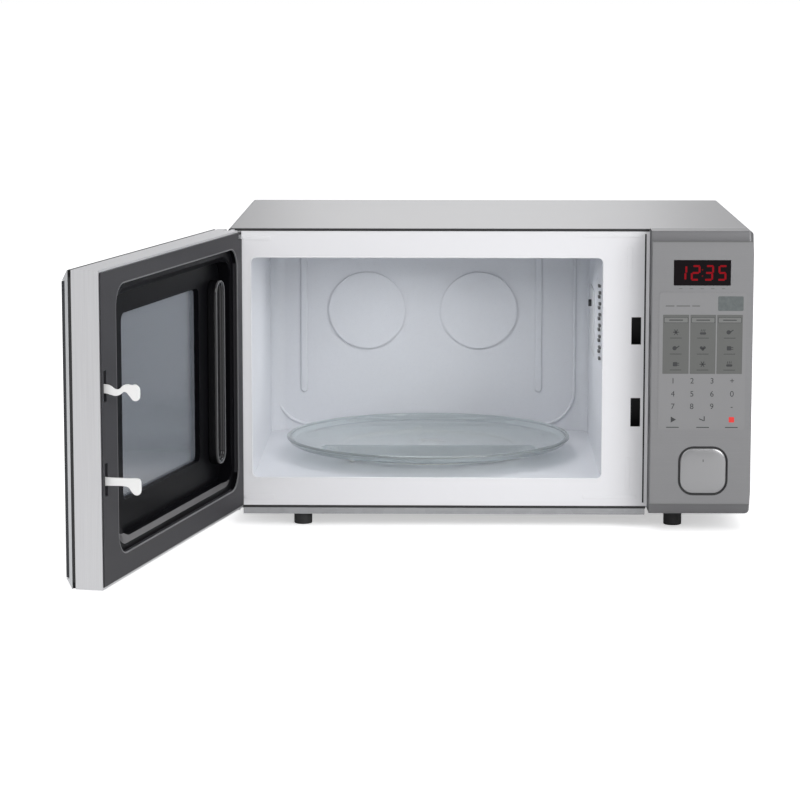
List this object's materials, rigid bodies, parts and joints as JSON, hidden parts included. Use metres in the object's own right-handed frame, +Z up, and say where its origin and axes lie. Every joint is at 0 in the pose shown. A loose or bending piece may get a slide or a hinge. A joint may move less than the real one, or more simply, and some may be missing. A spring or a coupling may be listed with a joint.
{
  "type": "microwave oven",
  "caption": "Countertop microwave oven with a side-hinged door, glass turntable on rollers, keypad panel and push-button door release.",
  "frame": {"origin": "on the worktop, midway between the four feet", "axes": "+X to the user's right, +Y from the door towards the rear panel, +Z up"},
  "size_m": [0.6567, 0.8124, 0.3125],
  "materials": {
    "outer_cover": "brushed",
    "base_plate": "zinc plated",
    "feet": "matte",
    "rear_panel": "zinc plated",
    "cover_screws": "plated",
    "front_plate": "gloss enamel",
    "cavity_wrap": "gloss enamel",
    "cavity_floor": "gloss enamel",
    "cavity_back": "gloss enamel",
    "hinge_upper": "plated",
    "hinge_lower": "plated",
    "door_front_glass": "dark tinted",
    "door_front_trim": "brushed",
    "door_frame": "brushed",
    "door_inner_frame": "gloss",
    "window_screen": "perforated",
    "window_inner_pane": "clear",
    "door_screws": "plated",
    "latch_hook": "moulded",
    "latch_spring": "spring wire",
    "latch_board": "moulded",
    "microswitches": "moulded",
    "release_lever": "moulded",
    "release_button": "silver lacquer",
    "button_spring": "spring wire",
    "control_housing": "silver lacquer",
    "control_fascia": "satin",
    "keypad_membrane": "printed film",
    "display_window": "dark red tint",
    "display_module": "moulded, glowing digits",
    "control_pcb": "circuit board",
    "lv_transformer": "laminated core",
    "relays": "moulded",
    "magnetron": "plated",
    "magnetron_fins": "pressed",
    "magnetron_filter": "plated",
    "waveguide": "plated",
    "waveguide_cover": "mica sheet",
    "hv_transformer_core": "varnished laminations",
    "hv_windings": "enamelled wire",
    "hv_capacitor": "drawn can",
    "capacitor_clamp": "plated",
    "hv_diode": "moulded",
    "thermal_cutout": "glazed",
    "fan_motor": "laminated core",
    "fan_blade": "moulded",
    "fan_shroud": "moulded",
    "air_duct": "moulded",
    "oven_lamp": "frosted",
    "lamp_holder": "glazed",
    "filter_board": "circuit board",
    "mains_fuse": "clear",
    "cord_gland": "matte",
    "turntable_motor": "plated",
    "turntable_coupler": "moulded",
    "roller_ring": "moulded",
    "roller_wheel_1": "moulded",
    "roller_wheel_2": "moulded",
    "roller_wheel_3": "moulded",
    "glass_tray": "clear, moulded"
  },
  "bodies": {
    "cabinet": {"outer_cover": "outer_cover", "base_plate": "base_plate", "feet": "feet", "rear_panel": "rear_panel", "cover_screws": "cover_screws", "front_plate": "front_plate", "cavity_wrap": "cavity_wrap", "cavity_floor": "cavity_floor", "cavity_back": "cavity_back", "hinge_upper": "hinge_upper", "hinge_lower": "hinge_lower", "latch_board": "latch_board", "microswitches": "microswitches", "button_spring": "button_spring", "control_housing": "control_housing", "control_fascia": "control_fascia", "keypad_membrane": "keypad_membrane", "display_window": "display_window", "display_module": "display_module", "control_pcb": "control_pcb", "lv_transformer": "lv_transformer", "relays": "relays", "magnetron": "magnetron", "magnetron_fins": "magnetron_fins", "magnetron_filter": "magnetron_filter", "waveguide": "waveguide", "waveguide_cover": "waveguide_cover", "hv_transformer_core": "hv_transformer_core", "hv_windings": "hv_windings", "hv_capacitor": "hv_capacitor", "capacitor_clamp": "capacitor_clamp", "hv_diode": "hv_diode", "thermal_cutout": "thermal_cutout", "fan_motor": "fan_motor", "fan_shroud": "fan_shroud", "air_duct": "air_duct", "oven_lamp": "oven_lamp", "lamp_holder": "lamp_holder", "filter_board": "filter_board", "mains_fuse": "mains_fuse", "cord_gland": "cord_gland", "turntable_motor": "turntable_motor"},
    "door": {"door_front_glass": "door_front_glass", "door_front_trim": "door_front_trim", "door_frame": "door_frame", "door_inner_frame": "door_inner_frame", "window_screen": "window_screen", "window_inner_pane": "window_inner_pane", "door_screws": "door_screws", "latch_spring": "latch_spring"},
    "latch": {"latch_hook": "latch_hook"},
    "button": {"release_button": "release_button"},
    "lever": {"release_lever": "release_lever"},
    "turntable": {"turntable_coupler": "turntable_coupler", "glass_tray": "glass_tray"},
    "ring": {"roller_ring": "roller_ring"},
    "wheel_a": {"roller_wheel_1": "roller_wheel_1"},
    "wheel_b": {"roller_wheel_2": "roller_wheel_2"},
    "wheel_c": {"roller_wheel_3": "roller_wheel_3"},
    "fan": {"fan_blade": "fan_blade"}
  },
  "joints": [
    {"name": "door_hinge", "type": "hinge", "parent": "cabinet", "child": "door", "pos_m": [-0.2635, -0.199, 0.16], "axis": [0, 0, 1], "range_deg": [-5, 103]},
    {"name": "latch_lift", "type": "slide", "parent": "door", "child": "latch", "axis": [0, 0, 1], "range_m": [0, 0.006], "stiffness_N_per_m": 60, "springref_m": -0.012, "deforming": ["latch_spring"]},
    {"name": "release_button_press", "type": "slide", "parent": "cabinet", "child": "button", "axis": [0, 1, 0], "range_m": [0, 0.004], "stiffness_N_per_m": 500, "springref_m": -0.002, "deforming": ["button_spring"]},
    {"name": "release_lever_turn", "type": "hinge", "parent": "cabinet", "child": "lever", "pos_m": [0.19, -0.17, 0.085], "axis": [1, 0, 0], "range_deg": [0, 11.5]},
    {"name": "turntable_spin", "type": "hinge", "parent": "cabinet", "child": "turntable", "pos_m": [-0.064, -0.008, 0.058], "axis": [0, 0, 1], "continuous": true},
    {"name": "roller_ring_spin", "type": "hinge", "parent": "cabinet", "child": "ring", "pos_m": [-0.064, -0.008, 0.0525], "axis": [0, 0, 1], "continuous": true},
    {"name": "roller_a_spin", "type": "hinge", "parent": "ring", "child": "wheel_a", "pos_m": [-0.07655, 0.09423, 0.0525], "axis": [-0.1219, 0.9925, 0], "continuous": true},
    {"name": "roller_b_spin", "type": "hinge", "parent": "ring", "child": "wheel_b", "pos_m": [-0.14626, -0.06999, 0.0525], "axis": [-0.7986, -0.6018, 0], "continuous": true},
    {"name": "roller_c_spin", "type": "hinge", "parent": "ring", "child": "wheel_c", "pos_m": [0.03081, -0.04825, 0.0525], "axis": [0.9205, -0.3907, 0], "continuous": true},
    {"name": "fan_spin", "type": "hinge", "parent": "cabinet", "child": "fan", "pos_m": [0.196, 0.136, 0.19], "axis": [0, 1, 0], "continuous": true}
  ],
  "couplings": [
    {"joint": "release_lever_turn", "follows": "release_button_press", "rad_per_m": 50},
    {"joint": "roller_ring_spin", "follows": "turntable_spin", "ratio": 0.5},
    {"joint": "roller_a_spin", "follows": "turntable_spin", "ratio": -9.4495},
    {"joint": "roller_b_spin", "follows": "turntable_spin", "ratio": -9.4495},
    {"joint": "roller_c_spin", "follows": "turntable_spin", "ratio": -9.4495}
  ]
}
